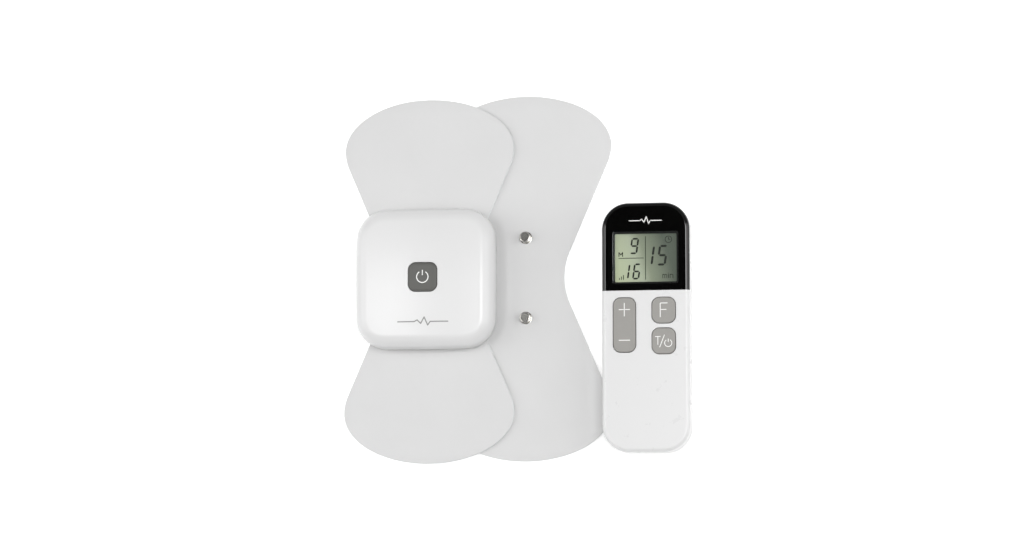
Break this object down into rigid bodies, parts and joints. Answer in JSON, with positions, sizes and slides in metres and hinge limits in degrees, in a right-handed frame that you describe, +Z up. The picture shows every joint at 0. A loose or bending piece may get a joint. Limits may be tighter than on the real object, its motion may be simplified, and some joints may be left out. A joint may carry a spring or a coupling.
{
  "type": "muscle stimulator kit",
  "caption": "Wireless muscle-stimulation kit: a soft square receiver snapped to an hourglass electrode pad, a spare pad with metal snap studs, and a keyed battery remote with a display.",
  "frame": {"origin": "on the table, under the centre of the bounding box of the whole kit", "axes": "+Y along the pads towards their upper lobes and the display end of the remote, +X from the receiver to the remote, +Z up from the table"},
  "size_m": [0.1746, 0.1828, 0.0212],
  "materials": {
    "pad_fabric": "closely knitted light grey non-woven facing",
    "hydrogel": "translucent self-adhesive gel",
    "carbon_film": "carbon-loaded conductive film",
    "release_liner": "clear-white siliconed release sheet",
    "snap_nickel": "nickel-plated brass",
    "eyelet_nickel": "nickel-plated brass",
    "receiver_shell": "satin moulded ABS",
    "receiver_base": "satin moulded ABS",
    "power_key_rubber": "matt silicone",
    "board_green": "solder-masked glass epoxy",
    "cell_foil": "laminated pouch foil",
    "foam_tape": "closed-cell foam tape",
    "switch_body": "moulded nylon",
    "port_steel": "drawn stainless steel",
    "spring_steel": "bright spring wire",
    "contact_steel": "nickel-plated strip",
    "ferrite": "sintered ferrite and copper winding",
    "chip_epoxy": "moulded epoxy",
    "antenna_ceramic": "glazed ceramic",
    "led_lens": "clear epoxy",
    "screw_steel": "zinc-plated steel",
    "remote_shell": "satin moulded ABS",
    "remote_base": "satin moulded ABS",
    "fascia_black": "polished acrylic",
    "lens_clear": "clear acrylic",
    "gasket_foam": "black foam",
    "lcd_glass": "grey-green reflective display glass",
    "reflector_film": "white diffusing film",
    "zebra_rubber": "layered conductive silicone",
    "keypad_rubber": "silicone",
    "key_rubber": "matt silicone",
    "carbon_pill": "conductive silicone",
    "cell_label": "printed shrink sleeve"
  },
  "bodies": {
    "spare_pad": {"spare_pad_cover": "pad_fabric", "spare_pad_eyelets": "eyelet_nickel", "spare_pad_liner": "release_liner", "spare_pad_lower_film": "carbon_film", "spare_pad_lower_gel": "hydrogel", "spare_pad_studs": "snap_nickel", "spare_pad_upper_film": "carbon_film", "spare_pad_upper_gel": "hydrogel"},
    "front_pad": {"front_pad_cover": "pad_fabric", "front_pad_eyelets": "eyelet_nickel", "front_pad_liner": "release_liner", "front_pad_lower_film": "carbon_film", "front_pad_lower_gel": "hydrogel", "front_pad_studs": "snap_nickel", "front_pad_upper_film": "carbon_film", "front_pad_upper_gel": "hydrogel"},
    "receiver": {"receiver_antenna": "antenna_ceramic", "receiver_battery_cell": "cell_foil", "receiver_battery_tape": "foam_tape", "receiver_boost_transformer": "ferrite", "receiver_bottom_case": "receiver_base", "receiver_case_screws": "screw_steel", "receiver_charging_port": "port_steel", "receiver_contact_tabs": "contact_steel", "receiver_main_board": "board_green", "receiver_power_switch": "switch_body", "receiver_processor_chips": "chip_epoxy", "receiver_snap_sockets": "snap_nickel", "receiver_snap_springs": "spring_steel", "receiver_status_led": "led_lens", "receiver_top_case": "receiver_shell"},
    "power_key": {"power_key_cap": "power_key_rubber", "power_switch_plunger": "switch_body"},
    "remote": {"remote_back_case": "remote_base", "remote_battery_plates": "contact_steel", "remote_battery_springs": "spring_steel", "remote_buzzer": "switch_body", "remote_case_screws": "screw_steel", "remote_circuit_board": "board_green", "remote_display_fascia": "fascia_black", "remote_display_gasket": "gasket_foam", "remote_display_lens": "lens_clear", "remote_front_case": "remote_shell", "remote_keypad_mat": "keypad_rubber", "remote_lcd_panel": "lcd_glass", "remote_lcd_reflector": "reflector_film", "remote_left_cell": "cell_label", "remote_processor": "chip_epoxy", "remote_right_cell": "cell_label", "remote_zebra_strips": "zebra_rubber"},
    "level_rocker": {"level_key_cap": "key_rubber", "level_key_pills": "carbon_pill"},
    "function_key": {"function_key_cap": "key_rubber", "function_key_pill": "carbon_pill"},
    "timer_key": {"timer_key_cap": "key_rubber", "timer_key_pill": "carbon_pill"},
    "battery_door": {"remote_battery_door": "remote_base"}
  },
  "joints": [
    {"name": "front_pad_lift", "type": "slide", "parent": "spare_pad", "child": "front_pad", "axis": [0, 0, 1], "range_m": [0, 0.07]},
    {"name": "receiver_unsnap", "type": "slide", "parent": "front_pad", "child": "receiver", "axis": [0, 0, 1], "range_m": [0, 0.04], "deforming": ["receiver_snap_springs"]},
    {"name": "power_key_press", "type": "slide", "parent": "receiver", "child": "power_key", "axis": [0, 0, -1], "range_m": [0, 0.0005], "stiffness_N_per_m": 2000},
    {"name": "remote_pick_up", "type": "slide", "parent": "spare_pad", "child": "remote", "axis": [0, 0, 1], "range_m": [0, 0.04]},
    {"name": "level_rocker_tip", "type": "hinge", "parent": "remote", "child": "level_rocker", "pos_m": [0.05536, -0.0256, 0.01752], "axis": [1, 0, 0], "range_deg": [-3.5, 3.5], "stiffness_Nm_per_rad": 0.12},
    {"name": "function_key_press", "type": "slide", "parent": "remote", "child": "function_key", "axis": [0, 0, -1], "range_m": [0, 0.0007], "stiffness_N_per_m": 1500},
    {"name": "timer_key_press", "type": "slide", "parent": "remote", "child": "timer_key", "axis": [0, 0, -1], "range_m": [0, 0.0007], "stiffness_N_per_m": 1500},
    {"name": "battery_door_slide", "type": "slide", "parent": "remote", "child": "battery_door", "axis": [0, -1, 0], "range_m": [0, 0.056]}
  ]
}
